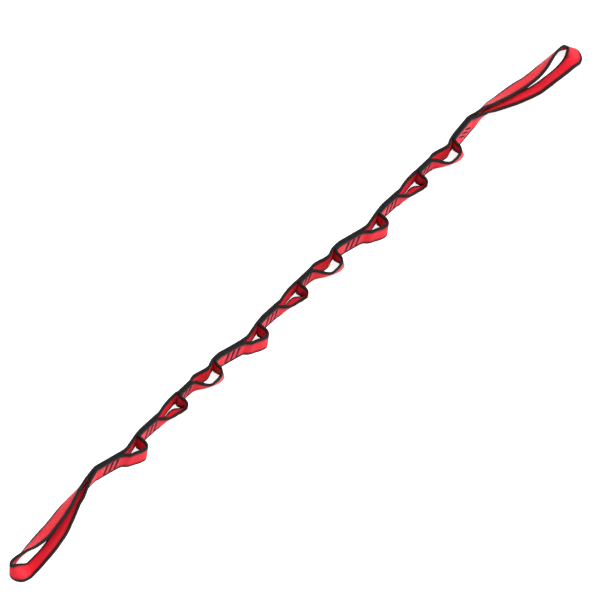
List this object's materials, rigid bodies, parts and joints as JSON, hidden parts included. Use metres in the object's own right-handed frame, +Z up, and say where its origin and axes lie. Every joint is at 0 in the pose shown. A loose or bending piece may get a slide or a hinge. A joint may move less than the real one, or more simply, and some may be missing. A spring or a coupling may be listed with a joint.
{
  "type": "climbing daisy chain",
  "caption": "Climbing daisy chain: doubled webbing sewn into a row of clip-in pockets by bar tacks, with a long splayed loop at each end.",
  "frame": {"origin": "middle of the chain's bounding box, on the surface that its webbing stands on edge on", "axes": "+X along the chain, towards the upper end loop of the picture; -Y the side that the pockets open to; +Z up, across the webbing's width"},
  "size_m": [0.9903, 0.0425, 0.0193],
  "materials": {
    "webbing": "woven, red with black edges, satin",
    "thread": "dark red stitching"
  },
  "bodies": {
    "upper_end_loop": {"upper_end_loop": "webbing"},
    "link_1": {"spine_strap_1": "webbing", "pocket_strap_1": "webbing", "bar_tack_1a": "thread", "bar_tack_1b": "thread", "bar_tack_1c": "thread"},
    "link_2": {"spine_strap_2": "webbing", "pocket_strap_2": "webbing", "bar_tack_2a": "thread", "bar_tack_2b": "thread", "bar_tack_2c": "thread"},
    "link_3": {"spine_strap_3": "webbing", "pocket_strap_3": "webbing", "bar_tack_3a": "thread", "bar_tack_3b": "thread", "bar_tack_3c": "thread"},
    "link_4": {"spine_strap_4": "webbing", "pocket_strap_4": "webbing", "bar_tack_4a": "thread", "bar_tack_4b": "thread", "bar_tack_4c": "thread"},
    "link_5": {"spine_strap_5": "webbing", "pocket_strap_5": "webbing", "bar_tack_5a": "thread", "bar_tack_5b": "thread", "bar_tack_5c": "thread"},
    "link_6": {"spine_strap_6": "webbing", "pocket_strap_6": "webbing", "bar_tack_6a": "thread", "bar_tack_6b": "thread", "bar_tack_6c": "thread"},
    "link_7": {"spine_strap_7": "webbing", "pocket_strap_7": "webbing", "bar_tack_7a": "thread", "bar_tack_7b": "thread", "bar_tack_7c": "thread"},
    "link_8": {"spine_strap_8": "webbing", "pocket_strap_8": "webbing", "bar_tack_8a": "thread", "bar_tack_8b": "thread", "bar_tack_8c": "thread"},
    "link_9": {"spine_strap_9": "webbing", "pocket_strap_9": "webbing", "bar_tack_9a": "thread", "bar_tack_9b": "thread", "bar_tack_9c": "thread"},
    "link_10": {"spine_strap_10": "webbing", "pocket_strap_10": "webbing", "bar_tack_10a": "thread", "bar_tack_10b": "thread", "bar_tack_10c": "thread"},
    "lower_end_loop": {"lower_end_loop": "webbing"}
  },
  "joints": [
    {"name": "fold_1", "type": "hinge", "parent": "upper_end_loop", "child": "link_1", "pos_m": [0.32672, 0.01134, 0.0095], "axis": [0, 0, 1], "range_deg": [-90, 60]},
    {"name": "fold_2", "type": "hinge", "parent": "link_1", "child": "link_2", "pos_m": [0.25325, 0.00941, 0.0095], "axis": [0, 0, -1], "range_deg": [-60, 90]},
    {"name": "fold_3", "type": "hinge", "parent": "link_2", "child": "link_3", "pos_m": [0.19075, 0.00557, 0.0095], "axis": [0, 0, 1], "range_deg": [-90, 60]},
    {"name": "fold_4", "type": "hinge", "parent": "link_3", "child": "link_4", "pos_m": [0.12176, 0.00374, 0.0095], "axis": [0, 0, -1], "range_deg": [-60, 90]},
    {"name": "fold_5", "type": "hinge", "parent": "link_4", "child": "link_5", "pos_m": [0.04373, 0.01136, 0.0095], "axis": [0, 0, 1], "range_deg": [-90, 60]},
    {"name": "fold_6", "type": "hinge", "parent": "link_5", "child": "link_6", "pos_m": [-0.01877, 0.00752, 0.0095], "axis": [0, 0, -1], "range_deg": [-60, 90]},
    {"name": "fold_7", "type": "hinge", "parent": "link_6", "child": "link_7", "pos_m": [-0.08776, 0.00569, 0.0095], "axis": [0, 0, 1], "range_deg": [-90, 60]},
    {"name": "fold_8", "type": "hinge", "parent": "link_7", "child": "link_8", "pos_m": [-0.16579, 0.01331, 0.0095], "axis": [0, 0, -1], "range_deg": [-60, 90]},
    {"name": "fold_9", "type": "hinge", "parent": "link_8", "child": "link_9", "pos_m": [-0.22829, 0.00947, 0.0095], "axis": [0, 0, 1], "range_deg": [-90, 60]},
    {"name": "fold_10", "type": "hinge", "parent": "link_9", "child": "link_10", "pos_m": [-0.29728, 0.00764, 0.0095], "axis": [0, 0, -1], "range_deg": [-60, 90]},
    {"name": "fold_11", "type": "hinge", "parent": "link_10", "child": "lower_end_loop", "pos_m": [-0.32411, 0.01364, 0.0095], "axis": [0, 0, 1], "range_deg": [-75, 60]}
  ]
}
